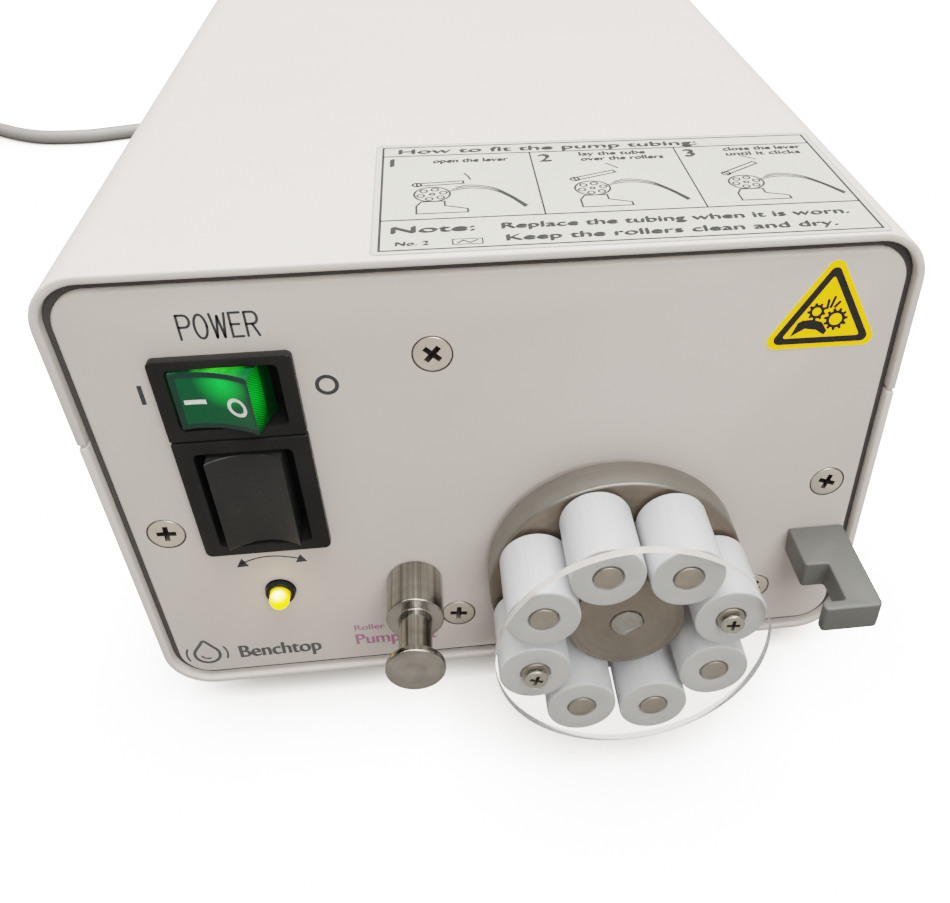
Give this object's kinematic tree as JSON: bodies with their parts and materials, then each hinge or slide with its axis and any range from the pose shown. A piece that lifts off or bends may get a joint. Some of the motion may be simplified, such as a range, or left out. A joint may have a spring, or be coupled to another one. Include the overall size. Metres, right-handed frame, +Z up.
{
  "type": "peristaltic pump",
  "caption": "Bench peristaltic pump: flat sheet-metal drive unit with lit mains rocker, direction rocker, lamp and an open roller head behind a clear guard disc.",
  "frame": {"origin": "middle of the pump's base, on the surface its feet stand on; the mains lead is not counted", "axes": "+Z up, front panel and pump head face -Y, +X to the right seen from the front"},
  "size_m": [0.4655, 0.4804, 0.1155],
  "materials": {
    "case_paint": "fine-textured matt paint, light warm grey",
    "panel_paint": "smooth matt paint, mid warm grey",
    "black_plastic": "satin black",
    "green_lens": "translucent green lens, lit",
    "yellow_lens": "diffused yellow lens, lit",
    "turned_steel": "turned stainless steel",
    "screw_steel": "nickel-plated steel",
    "grey_plastic": "machined grey plastic",
    "hub_metal": "fine-turned, champagne grey",
    "roller_plastic": "turned white acetal, satin",
    "clear_acrylic": "clear acrylic with a polished edge",
    "foot_rubber": "moulded black rubber",
    "zinc_plate": "zinc-plated",
    "motor_case": "dark painted die-casting",
    "transformer_core": "varnished laminations and winding",
    "circuit_board": "green solder mask",
    "mains_lead": "moulded light grey PVC"
  },
  "bodies": {
    "housing": {"top_cover": "case_paint", "bottom_shell": "case_paint", "front_panel": "panel_paint", "rear_panel": "panel_paint", "mains_switch_body": "black_plastic", "direction_switch_body": "black_plastic", "led_clip": "black_plastic", "mains_inlet": "black_plastic", "led_lens": "yellow_lens", "cassette_post": "turned_steel", "panel_screw_1": "screw_steel", "panel_screw_2": "screw_steel", "panel_screw_3": "screw_steel", "panel_screw_4": "screw_steel", "panel_screw_5": "screw_steel", "rear_screw_left": "screw_steel", "rear_screw_right": "screw_steel", "inlet_screw_left": "screw_steel", "inlet_screw_right": "screw_steel", "lever_catch": "grey_plastic", "foot_front_left": "foot_rubber", "foot_front_right": "foot_rubber", "foot_rear_left": "foot_rubber", "foot_rear_right": "foot_rubber", "side_rail_left": "zinc_plate", "side_rail_right": "zinc_plate", "drive_plate": "zinc_plate", "gearmotor": "motor_case", "transformer": "transformer_core", "control_board": "circuit_board", "mains_connector": "mains_lead", "mains_cord_lead": "mains_lead", "mains_cord_coil": "mains_lead", "mains_cord_tail": "mains_lead", "mains_plug": "mains_lead"},
    "rotor": {"rotor_hub": "hub_metal", "drive_shaft": "turned_steel", "guard_disc": "clear_acrylic", "guard_screw_1": "screw_steel", "guard_screw_2": "screw_steel", "roller_pin_1": "turned_steel", "roller_pin_2": "turned_steel", "roller_pin_3": "turned_steel", "roller_pin_4": "turned_steel", "roller_pin_5": "turned_steel", "roller_pin_6": "turned_steel", "roller_pin_7": "turned_steel", "roller_pin_8": "turned_steel"},
    "mains_rocker": {"mains_rocker": "green_lens"},
    "direction_rocker": {"direction_rocker": "black_plastic"},
    "roller_1": {"roller_1": "roller_plastic"},
    "roller_2": {"roller_2": "roller_plastic"},
    "roller_3": {"roller_3": "roller_plastic"},
    "roller_4": {"roller_4": "roller_plastic"},
    "roller_5": {"roller_5": "roller_plastic"},
    "roller_6": {"roller_6": "roller_plastic"},
    "roller_7": {"roller_7": "roller_plastic"},
    "roller_8": {"roller_8": "roller_plastic"}
  },
  "joints": [
    {"name": "rotor_spin", "type": "hinge", "parent": "housing", "child": "rotor", "pos_m": [0.02345, -0.1361, 0.03885], "axis": [0, 1, 0], "continuous": true},
    {"name": "mains_rocker_tilt", "type": "hinge", "parent": "housing", "child": "mains_rocker", "pos_m": [-0.05235, -0.1309, 0.08975], "axis": [0, 0, 1], "range_deg": [0, 28]},
    {"name": "direction_rocker_tilt", "type": "hinge", "parent": "housing", "child": "direction_rocker", "pos_m": [-0.05235, -0.1311, 0.06475], "axis": [0, 0, 1], "range_deg": [-10, 10]},
    {"name": "roller_1_spin", "type": "hinge", "parent": "rotor", "child": "roller_1", "pos_m": [0.00474, -0.1564, 0.04944], "axis": [0, 1, 0], "continuous": true},
    {"name": "roller_2_spin", "type": "hinge", "parent": "rotor", "child": "roller_2", "pos_m": [0.0177, -0.1564, 0.05957], "axis": [0, 1, 0], "continuous": true},
    {"name": "roller_3_spin", "type": "hinge", "parent": "rotor", "child": "roller_3", "pos_m": [0.03404, -0.1564, 0.05756], "axis": [0, 1, 0], "continuous": true},
    {"name": "roller_4_spin", "type": "hinge", "parent": "rotor", "child": "roller_4", "pos_m": [0.04417, -0.1564, 0.0446], "axis": [0, 1, 0], "continuous": true},
    {"name": "roller_5_spin", "type": "hinge", "parent": "rotor", "child": "roller_5", "pos_m": [0.04216, -0.1564, 0.02826], "axis": [0, 1, 0], "continuous": true},
    {"name": "roller_6_spin", "type": "hinge", "parent": "rotor", "child": "roller_6", "pos_m": [0.0292, -0.1564, 0.01813], "axis": [0, 1, 0], "continuous": true},
    {"name": "roller_7_spin", "type": "hinge", "parent": "rotor", "child": "roller_7", "pos_m": [0.01286, -0.1564, 0.02014], "axis": [0, 1, 0], "continuous": true},
    {"name": "roller_8_spin", "type": "hinge", "parent": "rotor", "child": "roller_8", "pos_m": [0.00273, -0.1564, 0.0331], "axis": [0, 1, 0], "continuous": true}
  ]
}
